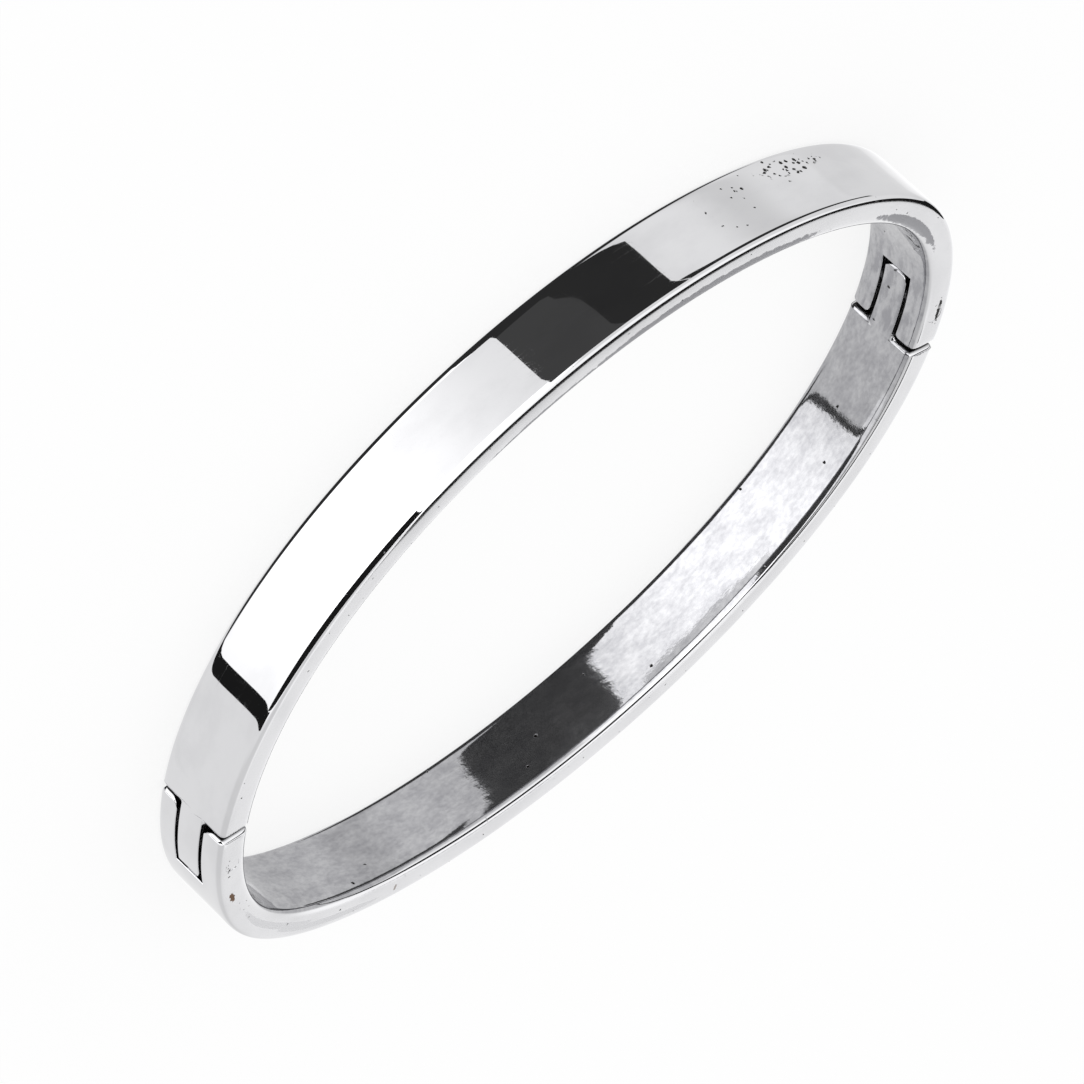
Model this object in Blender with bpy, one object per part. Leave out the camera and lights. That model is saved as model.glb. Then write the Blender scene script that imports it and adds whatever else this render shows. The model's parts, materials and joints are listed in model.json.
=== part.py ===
"""Oval hinged bangle in polished stainless steel, closed and lying flat on one rim.

The band is two halves, each with a two-eared fork at one end and a tongue at the other. A pin through
one fork and tongue makes the hinge. In the other joint two sprung balls in the tongue snap into the
cupped ends of plugs in the ears, which makes the clasp.

Frame: metres, +Z up along the band's axis, +X along the oval's length towards the clasp, the front
half on the -Y side, and the origin at the middle of the oval in the plane of the lower rim.
"""

import math

import bmesh
import bpy
from mathutils import Matrix, Vector

# Oval of the outer face, seen from above
OVAL_LENGTH = 0.066
OVAL_BREADTH = 0.049
LOPSIDEDNESS = 0.00028
SKEW = 0.00029

# Section of the band
BAND_WIDTH = 0.006
BAND_THICKNESS = 0.0025
EDGE_ROUND = 0.0004

# Tongue and fork joints: the angle is the way the outer face points at the middle of the joint
HINGE_ANGLE = math.radians(156.0)
CLASP_ANGLE = math.radians(-16.1)
JOINT_LENGTH = 0.0066
TONGUE_WIDTH = 0.002
SIDE_GAP = 0.0003
SWING_CLEARANCE = 0.00005
END_ROUND = 0.0003

# Hinge pin
PIN_DIAMETER = 0.0012
RUNNING_CLEARANCE = 0.00003

# Snap clasp
BALL_DIAMETER = 0.001
BALL_CLEARANCE = 0.00003
BALL_BITE = 0.00015
CUP_CLEARANCE = 0.00003
PLUG_DIAMETER = 0.0011
SPRING_DIAMETER = 0.0008
SPRING_WIRE = 0.00014
SPRING_PITCH = 0.0003
SPRING_SEAT_GAP = 0.00003

# Pressed pieces: gap round them, and how far their ends lie under the rims
PRESS_CLEARANCE = 0.00002
END_RECESS = 0.00002

# Fineness of the facets
BAND_STEP = math.radians(3.0)
EDGE_STEPS = 3
ROUND_SEGMENTS = 24
CUP_STEPS = 4
BALL_STEPS = 10
CURL_POINTS = 10

# How far a cutter stands past what it cuts
CUT_MARGIN = 0.0008

TONGUE_LOW = (BAND_WIDTH - TONGUE_WIDTH) / 2
TONGUE_HIGH = TONGUE_LOW + TONGUE_WIDTH
SLOT_LOW = TONGUE_LOW - SIDE_GAP
SLOT_HIGH = TONGUE_HIGH + SIDE_GAP
MID_DEPTH = BAND_THICKNESS / 2
FULL_TURN = 2 * math.pi

# Ears and tongues stop where their outer corners still swing clear of the shoulder or root they face
END_REACH = math.sqrt((JOINT_LENGTH / 2 - SWING_CLEARANCE) ** 2 - MID_DEPTH**2)

BALL_RADIUS = BALL_DIAMETER / 2
BALL_HIGH = SLOT_HIGH + BALL_BITE - BALL_RADIUS
BALL_LOW = SLOT_LOW - BALL_BITE + BALL_RADIUS


def tangent_distance(angle):
    """Distance from the centre to the outer face's tangent whose outward normal points at this angle."""
    ellipse = math.hypot(OVAL_LENGTH / 2 * math.cos(angle), OVAL_BREADTH / 2 * math.sin(angle))
    lopsided = LOPSIDEDNESS * (math.sin(angle) + math.sin(3 * angle))
    return ellipse + lopsided + SKEW * math.sin(4 * angle)


def tangent_slope(angle):
    """How fast that distance changes with the angle."""
    half_length, half_breadth = OVAL_LENGTH / 2, OVAL_BREADTH / 2
    ellipse = math.hypot(half_length * math.cos(angle), half_breadth * math.sin(angle))
    swing = (half_breadth**2 - half_length**2) * math.sin(angle) * math.cos(angle) / ellipse
    lopsided = LOPSIDEDNESS * (math.cos(angle) + 3 * math.cos(3 * angle))
    return swing + lopsided + 4 * SKEW * math.cos(4 * angle)


def bend_radius(angle, depth):
    """Radius to which the band is bent here, at a depth under its outer face."""
    half_length, half_breadth = OVAL_LENGTH / 2, OVAL_BREADTH / 2
    ellipse = math.hypot(half_length * math.cos(angle), half_breadth * math.sin(angle))
    radius = (half_length * half_breadth) ** 2 / ellipse**3
    return radius - 8 * LOPSIDEDNESS * math.sin(3 * angle) - 15 * SKEW * math.sin(4 * angle) - depth


def band_point(angle, depth, height):
    """Point of the band at this angle, this deep under the outer face and this high above the lower rim."""
    reach = tangent_distance(angle) - depth
    slope = tangent_slope(angle)
    x = reach * math.cos(angle) - slope * math.sin(angle)
    y = reach * math.sin(angle) + slope * math.cos(angle)
    return Vector((x, y, height))


def angle_along(joint_angle, distance):
    """Angle at a distance along the band's middle from the centre of a joint."""
    return joint_angle + distance / bend_radius(joint_angle, MID_DEPTH)


def rounded_section(inset):
    """Outline of the band's section as (depth, height), drawn in by inset on all sides."""
    radius = max(EDGE_ROUND - inset, EDGE_ROUND / 4)
    near, far = inset + radius, BAND_THICKNESS - inset - radius
    low, high = inset + radius, BAND_WIDTH - inset - radius
    corners = [(far, high, 0), (near, high, 1), (near, low, 2), (far, low, 3)]
    outline = []
    for depth, height, quarter in corners:
        for step in range(EDGE_STEPS + 1):
            turn = (quarter + step / EDGE_STEPS) * math.pi / 2
            outline.append((depth + radius * math.cos(turn), height + radius * math.sin(turn)))
    return outline


def block_section(low, high):
    """Plain section of a cutter between two heights, wider than the band is thick."""
    outer, inner = -CUT_MARGIN, BAND_THICKNESS + CUT_MARGIN
    return [(inner, low), (inner, high), (outer, high), (outer, low)]


def new_object(name, mesh_or_curve):
    obj = bpy.data.objects.new(name, mesh_or_curve)
    bpy.context.scene.collection.objects.link(obj)
    return obj


def finished_mesh(name, bm):
    """Closes doubles, turns the faces outwards and shades the round stretches smooth."""
    bmesh.ops.remove_doubles(bm, verts=bm.verts, dist=1e-8)
    bmesh.ops.recalc_face_normals(bm, faces=bm.faces)
    mesh = bpy.data.meshes.new(name)
    bm.to_mesh(mesh)
    bm.free()
    mesh.shade_smooth()
    mesh.set_sharp_from_angle(angle=math.radians(35))
    return new_object(name, mesh)


def sweep(name, rings):
    """Solid along the band through rings of (angle, outline), with flat ends."""
    bm = bmesh.new()
    loops = []
    for angle, outline in rings:
        loops.append([bm.verts.new(band_point(angle, *point)) for point in outline])
    for loop, following in zip(loops, loops[1:]):
        for i, vert in enumerate(loop):
            bm.faces.new((loop[i - 1], vert, following[i], following[i - 1]))
    bm.faces.new(loops[0])
    bm.faces.new(reversed(loops[-1]))
    return finished_mesh(name, bm)


def turned(name, centre, profile):
    """Solid of revolution about the vertical through centre, from a profile of (radius, height)."""
    bm = bmesh.new()
    verts = [bm.verts.new((centre.x + radius, centre.y, height)) for radius, height in profile]
    edges = [bm.edges.new(pair) for pair in zip(verts, verts[1:])]
    bmesh.ops.spin(
        bm,
        geom=verts + edges,
        cent=(centre.x, centre.y, 0),
        axis=(0, 0, 1),
        angle=FULL_TURN,
        steps=ROUND_SEGMENTS,
        use_merge=True,
    )
    return finished_mesh(name, bm)


def rod(name, centre, radius, low, high):
    return turned(name, centre, [(0, low), (radius, low), (radius, high), (0, high)])


def cut(obj, cutter):
    """Takes the cutter's shape out of the object."""
    modifier = obj.modifiers.new(cutter.name, "BOOLEAN")
    modifier.operation = "DIFFERENCE"
    modifier.solver = "EXACT"
    modifier.object = cutter
    cutter.hide_render = True
    cutter.display_type = "WIRE"


def steel(name, colour, roughness):
    material = bpy.data.materials.new(name)
    material.use_nodes = True
    shader = material.node_tree.nodes["Principled BSDF"]
    shader.inputs["Base Color"].default_value = (*colour, 1)
    shader.inputs["Metallic"].default_value = 1
    shader.inputs["Roughness"].default_value = roughness
    return material


def cut_arc(start, end):
    """Angles of a cutter between two places on the band."""
    steps = 6
    return [start + (end - start) * step / steps for step in range(steps + 1)]


def band_rings(fork_angle, tongue_angle):
    """Rings of one half from its rounded ear ends, at the fork joint, to its rounded tongue tip."""
    turns = [math.pi / 2 * step / EDGE_STEPS for step in range(EDGE_STEPS + 1)]
    rounding = [(END_ROUND * (1 - math.sin(turn)), END_ROUND * (1 - math.cos(turn))) for turn in turns]
    ears = [(angle_along(fork_angle, back - END_REACH), inset) for back, inset in reversed(rounding)]
    tip = [(angle_along(tongue_angle, END_REACH - back), inset) for back, inset in rounding]
    start, end = ears[-1][0], tip[0][0]
    steps = math.ceil((end - start) / BAND_STEP)
    middle = [(start + (end - start) * step / steps, 0.0) for step in range(1, steps)]
    return [(angle, rounded_section(inset)) for angle, inset in ears + middle + tip]


def band_half(name, fork_angle, tongue_angle):
    """One half of the band: ears round a slot at one end, a tongue between shoulders at the other."""
    half = sweep(name, band_rings(fork_angle, tongue_angle))
    past_end = END_REACH + CUT_MARGIN
    root = angle_along(fork_angle, JOINT_LENGTH / 2)
    slot_arc = cut_arc(angle_along(fork_angle, -past_end), root)
    slot = block_section(SLOT_LOW, SLOT_HIGH)
    cut(half, sweep(f"{name}_slot_cutter", [(angle, slot) for angle in slot_arc]))
    shoulder = angle_along(tongue_angle, -JOINT_LENGTH / 2)
    side_arc = cut_arc(shoulder, angle_along(tongue_angle, past_end))
    sides = {"lower": (-CUT_MARGIN, TONGUE_LOW), "upper": (TONGUE_HIGH, BAND_WIDTH + CUT_MARGIN)}
    for side, (low, high) in sides.items():
        section = block_section(low, high)
        cut(half, sweep(f"{name}_{side}_side_cutter", [(angle, section) for angle in side_arc]))
    return half


def drill(half, name, centre, diameter, clearance):
    """Round hole down through everything the half has at this place."""
    radius = diameter / 2 + clearance
    cut(half, rod(name, centre, radius, -CUT_MARGIN, BAND_WIDTH + CUT_MARGIN))


def detent_ball(name, centre, height):
    profile = []
    for step in range(BALL_STEPS + 1):
        turn = math.pi * (step / BALL_STEPS - 0.5)
        radius = BALL_RADIUS * math.cos(turn) if 0 < step < BALL_STEPS else 0
        profile.append((radius, height + BALL_RADIUS * math.sin(turn)))
    return turned(name, centre, profile)


def detent_plug(name, centre, rim, cheek, ball_height):
    """Plug from just under a rim to the slot's cheek, its inner end cupped round the resting ball."""
    inward = math.copysign(1, cheek - rim)
    rim_end = rim + inward * END_RECESS
    cup_radius = BALL_RADIUS + CUP_CLEARANCE
    mouth_turn = math.acos(abs(cheek - ball_height) / cup_radius)
    profile = [(0, rim_end), (PLUG_DIAMETER / 2, rim_end), (PLUG_DIAMETER / 2, cheek)]
    for step in range(CUP_STEPS):
        turn = mouth_turn * (1 - step / CUP_STEPS)
        height = ball_height - inward * cup_radius * math.cos(turn)
        profile.append((cup_radius * math.sin(turn), height))
    profile.append((0, ball_height - inward * cup_radius))
    return turned(name, centre, profile)


def detent_spring(name, centre):
    """Coil between the two balls, whose end curls bear on the balls' round sides."""
    coil_radius = (SPRING_DIAMETER - SPRING_WIRE) / 2
    reach = BALL_RADIUS + SPRING_WIRE / 2 + SPRING_SEAT_GAP
    seat = math.sqrt(reach**2 - coil_radius**2)
    low, high = BALL_LOW + seat, BALL_HIGH - seat
    turns = (high - low) / SPRING_PITCH
    points = math.ceil(turns * CURL_POINTS)
    curve = bpy.data.curves.new(name, "CURVE")
    curve.dimensions = "3D"
    curve.bevel_depth = SPRING_WIRE / 2
    curve.bevel_resolution = 1
    curve.use_fill_caps = True
    spline = curve.splines.new("POLY")
    spline.points.add(points)
    for i, point in enumerate(spline.points):
        turn = FULL_TURN * turns * i / points
        x = centre.x + coil_radius * math.cos(turn)
        y = centre.y + coil_radius * math.sin(turn)
        point.co = (x, y, low + (high - low) * i / points, 1)
    return new_object(name, curve)


def put_origin(obj, point, parent=None):
    """Moves the object's origin to a point in space, its shape staying put, and parents it."""
    obj.data.transform(Matrix.Translation(-point))
    obj.location = point
    if parent:
        obj.parent = parent
        obj.location = point - parent.location


def build():
    for obj in list(bpy.data.objects):
        bpy.data.objects.remove(obj)

    polished = steel("polished_steel", (0.78, 0.77, 0.76), 0.12)
    pin_steel = steel("pin_steel", (0.72, 0.71, 0.70), 0.20)
    ball_steel = steel("ball_steel", (0.82, 0.82, 0.82), 0.05)
    spring_steel = steel("spring_steel", (0.55, 0.54, 0.52), 0.30)

    hinge = band_point(HINGE_ANGLE, MID_DEPTH, 0)
    clasp = band_point(CLASP_ANGLE, MID_DEPTH, 0)

    front = band_half("front_half", HINGE_ANGLE, CLASP_ANGLE + FULL_TURN)
    drill(front, "front_pin_hole_cutter", hinge, PIN_DIAMETER, PRESS_CLEARANCE)
    drill(front, "front_ball_hole_cutter", clasp, BALL_DIAMETER, BALL_CLEARANCE)
    back = band_half("back_half", CLASP_ANGLE, HINGE_ANGLE)
    drill(back, "back_pin_hole_cutter", hinge, PIN_DIAMETER, RUNNING_CLEARANCE)
    drill(back, "back_plug_hole_cutter", clasp, PLUG_DIAMETER, PRESS_CLEARANCE)
    pin = rod("hinge_pin", hinge, PIN_DIAMETER / 2, END_RECESS, BAND_WIDTH - END_RECESS)
    ball_upper = detent_ball("detent_ball_upper", clasp, BALL_HIGH)
    ball_lower = detent_ball("detent_ball_lower", clasp, BALL_LOW)
    spring = detent_spring("detent_spring", clasp)
    plug_upper = detent_plug("detent_plug_upper", clasp, BAND_WIDTH, SLOT_HIGH, BALL_HIGH)
    plug_lower = detent_plug("detent_plug_lower", clasp, 0.0, SLOT_LOW, BALL_LOW)

    hinge_axis = new_object("hinge_axis", None)
    hinge_axis.location = hinge
    for obj in (front, pin):
        put_origin(obj, hinge, hinge_axis)
    middle = clasp + Vector((0, 0, BAND_WIDTH / 2))
    put_origin(spring, middle, hinge_axis)
    put_origin(ball_upper, clasp + Vector((0, 0, BALL_HIGH)), hinge_axis)
    put_origin(ball_lower, clasp + Vector((0, 0, BALL_LOW)), hinge_axis)

    finishes = [
        (polished, (front, back)),
        (pin_steel, (pin, plug_upper, plug_lower)),
        (ball_steel, (ball_upper, ball_lower)),
        (spring_steel, (spring,)),
    ]
    for material, pieces in finishes:
        for obj in pieces:
            obj.data.materials.append(material)


build()
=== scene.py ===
"""Hinged oval bangle in polished steel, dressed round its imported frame.

Two band halves are swept along the oval by a node tree, then slotted, tongued, rounded and drilled.
The hinge pin, the clasp's plugs and balls are turned, and its spring is coiled by a second node tree.
Marks on the steel follow the band: millimetres along it, and millimetres round its section.
"""

import json
import math
from functools import reduce

import bmesh
import bpy
import numpy as np
from bpy.props import FloatProperty, FloatVectorProperty, IntProperty, PointerProperty
from mathutils import Matrix, Quaternion, Vector

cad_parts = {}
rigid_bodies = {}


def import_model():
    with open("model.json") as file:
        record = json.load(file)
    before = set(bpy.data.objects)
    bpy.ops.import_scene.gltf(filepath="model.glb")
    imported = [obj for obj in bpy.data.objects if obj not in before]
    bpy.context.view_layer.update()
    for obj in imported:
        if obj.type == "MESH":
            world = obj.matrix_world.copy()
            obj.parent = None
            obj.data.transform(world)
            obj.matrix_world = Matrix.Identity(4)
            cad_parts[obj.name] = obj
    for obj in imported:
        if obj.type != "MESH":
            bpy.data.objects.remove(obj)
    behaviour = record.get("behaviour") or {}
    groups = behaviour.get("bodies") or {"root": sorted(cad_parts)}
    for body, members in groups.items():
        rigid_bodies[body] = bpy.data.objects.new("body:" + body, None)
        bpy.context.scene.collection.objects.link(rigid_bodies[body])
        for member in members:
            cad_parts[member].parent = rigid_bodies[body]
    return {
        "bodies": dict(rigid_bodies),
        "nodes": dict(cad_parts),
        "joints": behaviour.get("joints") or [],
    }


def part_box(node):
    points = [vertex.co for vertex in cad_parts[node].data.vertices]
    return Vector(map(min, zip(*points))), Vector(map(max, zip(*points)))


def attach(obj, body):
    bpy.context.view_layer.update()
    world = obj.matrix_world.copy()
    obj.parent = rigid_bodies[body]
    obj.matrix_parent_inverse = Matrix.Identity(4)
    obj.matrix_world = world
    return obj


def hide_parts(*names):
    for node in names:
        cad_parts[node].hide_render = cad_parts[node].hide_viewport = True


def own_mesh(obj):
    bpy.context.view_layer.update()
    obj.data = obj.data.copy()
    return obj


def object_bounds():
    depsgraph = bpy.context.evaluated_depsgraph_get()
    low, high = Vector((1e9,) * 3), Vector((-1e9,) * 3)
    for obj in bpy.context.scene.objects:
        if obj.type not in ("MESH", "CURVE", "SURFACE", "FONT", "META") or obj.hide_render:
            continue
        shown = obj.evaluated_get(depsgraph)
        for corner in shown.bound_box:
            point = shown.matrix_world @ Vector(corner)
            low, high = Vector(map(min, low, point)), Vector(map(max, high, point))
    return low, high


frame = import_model()

bl_info = {
    "name": "Hinged oval bangle",
    "version": (1, 0, 0),
    "blender": (4, 5, 0),
    "location": "View3D > Sidebar > Bangle",
    "description": "Builds a polished steel bangle with a hinge and a snap clasp",
    "category": "Object",
}

CAD_LOW, CAD_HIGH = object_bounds()
CAD_SIZE = CAD_HIGH - CAD_LOW
MM = 0.001
INSET = 0.01 * MM
FULL_TURN = 2 * math.pi
HINGE = next(joint for joint in frame["joints"] if joint["name"] == "hinge")
HINGE_CENTRE = Vector(HINGE["pos_m"])


def box_middle(node):
    low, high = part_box(node)
    return (low + high) / 2


def box_size(node):
    low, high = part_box(node)
    return high - low


def length(name, description, default):
    return FloatProperty(name=name, description=description, default=default, unit="LENGTH", precision=5)


def angle(name, description, degrees):
    return FloatProperty(name=name, description=description, default=math.radians(degrees), subtype="ANGLE")


def count(name, description, default):
    return IntProperty(name=name, description=description, default=default, min=1)


def amount(name, description, default):
    return FloatProperty(name=name, description=description, default=default)


def colour(name, description, default):
    words = {"name": name, "description": description, "default": default}
    return FloatVectorProperty(**words, subtype="COLOR", size=3, min=0, max=1)


class BangleSizes(bpy.types.PropertyGroup):
    """Sizes of the band, its joints and the pieces in them"""

    oval_length: length("Oval length", "Outside length, hinge end to clasp end", CAD_SIZE.x - INSET)
    oval_breadth: length("Oval breadth", "Outside breadth of the oval", CAD_SIZE.y - INSET)
    lopsidedness: length("Lopsidedness", "How much flatter one long side is", 0.28 * MM)
    skew: length("Skew", "How far the oval's corners are turned", 0.29 * MM)
    band_width: length("Band width", "Rim to rim", CAD_SIZE.z)
    band_thickness: length("Band thickness", "Outer face to inner face", 2.5 * MM)
    face_fullness: amount("Face fullness", "Higher is flatter up to the edges", 13.0)
    rim_fullness: amount("Rim fullness", "Higher is flatter up to the outer edge", 7.0)
    inner_fullness: amount("Inner fullness", "Higher is flatter up to the inner edge", 4.0)
    hinge_angle: angle("Hinge angle", "Way the outer face points at the hinge", 156.0)
    clasp_angle: angle("Clasp angle", "Way the outer face points at the clasp", -16.1)
    joint_length: length("Joint length", "Shoulder to root along the band", 6.6 * MM)
    end_gap: length("End gap", "Between an ear or tongue end and what it faces", 0.3 * MM)
    tongue_width: length("Tongue width", "Across the tongue", 2.0 * MM)
    side_gap: length("Side gap", "Between the tongue and each ear", 0.3 * MM)
    corner_round: length("Corner round", "Round of the corners of tongues and ears", 0.75 * MM)
    end_round: length("End round", "Rolled edge of ear ends, tongue tips and shoulders", 0.36 * MM)
    side_round: length("Side round", "Broken edge along slots and tongues", 0.08 * MM)
    base_round: length("Base round", "Fillet at the foot of the tongues", 0.5 * MM)
    pin_gap: length("Pin gap", "Round the pressed pin and plugs", 0.003 * MM)
    running_gap: length("Running gap", "Round the pin in its tongue and the balls in theirs", 0.03 * MM)


class BangleFineness(bpy.types.PropertyGroup):
    """How finely the pieces are divided"""

    body_steps: count("Body steps", "Steps along a half between its joints", 260)
    joint_steps: count("Joint steps", "Steps along an ear or tongue", 8)
    corner_steps: count("Corner steps", "Steps round each corner of the section", 16)
    round_steps: count("Round steps", "Steps across a rounded edge", 4)
    turn_steps: count("Turn steps", "Facets round a turned piece", 64)
    coil_steps: count("Coil steps", "Points on one coil of the spring", 32)


class BangleColours(bpy.types.PropertyGroup):
    """Colours of the steel and its wear"""

    polished: colour("Polished steel", "Outer faces and rims", (0.785, 0.785, 0.80))
    satin: colour("Satin steel", "Inner faces", (0.56, 0.56, 0.575))
    stained: colour("Stained steel", "Darker clouds on the inner faces", (0.36, 0.36, 0.38))
    worn: colour("Worn steel", "Matt patches on the rims", (0.36, 0.36, 0.38))
    # Near-black for dirt in pits and cracks, and for painted shade on the walls of the joints
    pit_dirt_and_joint_shade: colour("Grime", "Pits, cracks and the walls of the joints", (0.012, 0.011, 0.010))
    rust: colour("Rust", "Rusty pits and cracks on the rims", (0.16, 0.09, 0.05))
    ball: colour("Ball steel", "Clasp balls", (0.82, 0.82, 0.82))
    spring: colour("Spring steel", "Clasp spring", (0.42, 0.40, 0.37))
    floor: colour("Floor", "The sheet the bangle lies on", (0.96, 0.96, 0.96))


def sizes():
    return bpy.context.scene.bangle_sizes


def fineness():
    return bpy.context.scene.bangle_fineness


def colours():
    return bpy.context.scene.bangle_colours


# The oval

SOLVER_STEPS = 12
TABLE_STEPS = 4001


def oval_terms(turn):
    """Distance from the middle to the outer face's tangent, and its slope, by the way the face points."""
    size = sizes()
    half_length, half_breadth = size.oval_length / 2, size.oval_breadth / 2
    c, s = np.cos(turn), np.sin(turn)
    ellipse = np.hypot(half_length * c, half_breadth * s)
    distance = ellipse + size.lopsidedness * (s + np.sin(3 * turn)) + size.skew * np.sin(4 * turn)
    slope = (half_breadth**2 - half_length**2) * s * c / ellipse
    slope = slope + size.lopsidedness * (c + 3 * np.cos(3 * turn)) + 4 * size.skew * np.cos(4 * turn)
    return distance, slope


def bend_radius(turn, depth):
    """Radius the band is bent to, at a depth under its outer face."""
    size = sizes()
    half_length, half_breadth = size.oval_length / 2, size.oval_breadth / 2
    ellipse = np.hypot(half_length * np.cos(turn), half_breadth * np.sin(turn))
    radius = (half_length * half_breadth) ** 2 / ellipse**3
    return radius - 8 * size.lopsidedness * np.sin(3 * turn) - 15 * size.skew * np.sin(4 * turn) - depth


def turn_of(points, guess):
    """The way the band faces at these points, found from near the guess."""
    x, y = points[:, 0], points[:, 1]
    turn = np.array(guess, float)
    for _ in range(SOLVER_STEPS):
        c, s = np.cos(turn), np.sin(turn)
        distance, slope = oval_terms(turn)
        miss = y * c - x * s - slope
        inward = distance - (x * c + y * s)
        turn = turn + miss / bend_radius(turn, inward)
    return turn


def along_band(turn):
    """Millimetres along the band's middle from where it faces the clasp end square on."""
    table = np.linspace(-math.pi, 3 * math.pi, TABLE_STEPS)
    radius = bend_radius(table, sizes().band_thickness / 2)
    run = np.concatenate(([0], np.cumsum((radius[1:] + radius[:-1]) / 2 * np.diff(table))))
    start = np.interp(0, table, run)
    return (np.interp(turn, table, run) - start) / MM


def joint_turn(middle, distance):
    """The way the band faces at a distance along it from the middle of a joint."""
    return middle + distance / float(bend_radius(middle, sizes().band_thickness / 2))


# Laying out nodes

NODES_ACROSS, NODE_WIDTH, NODE_HEIGHT = 12, 180, 220


class Graph:
    """Lays nodes in a tree and joins them up."""

    def __init__(self, tree):
        self.tree = tree

    def feed(self, socket, value):
        if isinstance(value, bpy.types.NodeSocket):
            self.tree.links.new(value, socket)
        else:
            socket.default_value = value

    def fill(self, node, values):
        for socket, value in zip(node.inputs, values):
            self.feed(socket, value)
        return node.outputs[0]

    def node(self, kind, inputs=None, **settings):
        node = self.tree.nodes.new(kind)
        row, column = divmod(len(self.tree.nodes), NODES_ACROSS)
        node.location = (NODE_WIDTH * column, -NODE_HEIGHT * row)
        for name, value in settings.items():
            setattr(node, name, value)
        for key, value in (inputs or {}).items():
            self.feed(node.inputs[key], value)
        return node

    def out(self, kind, inputs=None, **settings):
        return self.node(kind, inputs, **settings).outputs[0]

    def group(self, tree, *values):
        kind = self.tree.bl_idname.replace("NodeTree", "NodeGroup")
        return self.fill(self.node(kind, node_tree=tree), values)

    def math(self, operation, *values, clamp=False):
        return self.fill(self.node("ShaderNodeMath", operation=operation, use_clamp=clamp), values)

    def vector(self, operation, *values):
        return self.fill(self.node("ShaderNodeVectorMath", operation=operation), values)

    def chain(self, operation, values):
        return reduce(lambda first, second: self.math(operation, first, second), values)

    def add(self, *values):
        return self.chain("ADD", values)

    def times(self, *values):
        return self.chain("MULTIPLY", values)

    def most(self, *values):
        return self.chain("MAXIMUM", values)

    def least(self, *values):
        return self.chain("MINIMUM", values)

    def less(self, first, second):
        return self.math("SUBTRACT", first, second)

    def over(self, first, second):
        return self.math("DIVIDE", first, second)

    def without(self, mask):
        return self.math("SUBTRACT", 1.0, mask, clamp=True)

    def parts(self, vector):
        return self.node("ShaderNodeSeparateXYZ", {"Vector": vector}).outputs

    def joined(self, x, y, z=0.0):
        return self.out("ShaderNodeCombineXYZ", {"X": x, "Y": y, "Z": z})

    def noise(self, vector, scale, detail, roughness):
        values = {"Vector": vector, "Scale": scale, "Detail": detail, "Roughness": roughness}
        return self.node("ShaderNodeTexNoise", values).outputs

    def rise(self, value, start, end, low=0.0, high=1.0, kind="SMOOTHSTEP"):
        """Goes from low to high as the value goes from start to end."""
        values = {"Value": value, "From Min": start, "From Max": end, "To Min": low, "To Max": high}
        return self.node("ShaderNodeMapRange", values, interpolation_type=kind).outputs["Result"]

    def window(self, value, low, high, soft):
        """One between low and high, nothing beyond them."""
        into = self.rise(value, low - soft, low + soft)
        out = self.rise(value, high - soft, high + soft)
        return self.times(into, self.without(out))

    def mix(self, share, first, second):
        node = self.node("ShaderNodeMix", {"Factor": share}, data_type="RGBA")
        for name, value in (("A", first), ("B", second)):
            socket = next(s for s in node.inputs if s.name == name and s.type == "RGBA")
            self.feed(socket, value)
        return next(s for s in node.outputs if s.type == "RGBA")


def new_group(name, kind, inputs, outputs):
    """Empty node group with named sockets, its graph, and its input and output nodes."""
    tree = bpy.data.node_groups.new(name, kind)
    for side, sockets in (("INPUT", inputs), ("OUTPUT", outputs)):
        for socket_name, (socket_kind, subtype) in sockets:
            socket = tree.interface.new_socket(socket_name, in_out=side, socket_type=socket_kind)
            if subtype:
                socket.subtype = subtype
    graph = Graph(tree)
    given = graph.node("NodeGroupInput").outputs
    result = graph.node("NodeGroupOutput").inputs
    return graph, given, result


FLOAT, INTEGER, VECTOR = ("NodeSocketFloat", ""), ("NodeSocketInt", ""), ("NodeSocketVector", "")
GEOMETRY, MATERIAL = ("NodeSocketGeometry", ""), ("NodeSocketMaterial", "")
LENGTH, ANGLE = ("NodeSocketFloat", "DISTANCE"), ("NodeSocketFloat", "ANGLE")


def new_maker(name, inputs):
    """Empty node tree that makes geometry, with its graph, inputs and outputs."""
    graph, given, result = new_group(name, "GeometryNodeTree", inputs, [("Geometry", GEOMETRY)])
    graph.tree.is_modifier = True
    return graph, given, result


def linked(name, mesh):
    obj = bpy.data.objects.new(name, mesh)
    bpy.context.scene.collection.objects.link(obj)
    return obj


def made_by_nodes(name, start, tree, values):
    """Plain mesh made by a node tree from a starting mesh and named values."""
    maker = linked(name, start)
    modifier = maker.modifiers.new(tree.name, "NODES")
    modifier.node_group = tree
    for item in tree.interface.items_tree:
        if item.in_out == "INPUT" and item.name in values:
            modifier[item.identifier] = values[item.name]
    evaluated = maker.evaluated_get(bpy.context.evaluated_depsgraph_get())
    mesh = bpy.data.meshes.new_from_object(evaluated)
    maker.modifiers.remove(modifier)
    bpy.data.objects.remove(maker)
    if not mesh.polygons:
        raise RuntimeError(f"the tree made no faces for {name}")
    mesh.name = name
    return mesh


def finish_tree(graph, result, geometry, material):
    real = graph.out("GeometryNodeRealizeInstances", {"Geometry": geometry})
    dressed = graph.out("GeometryNodeSetMaterial", {"Geometry": real, "Material": material})
    graph.feed(result["Geometry"], dressed)


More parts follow.
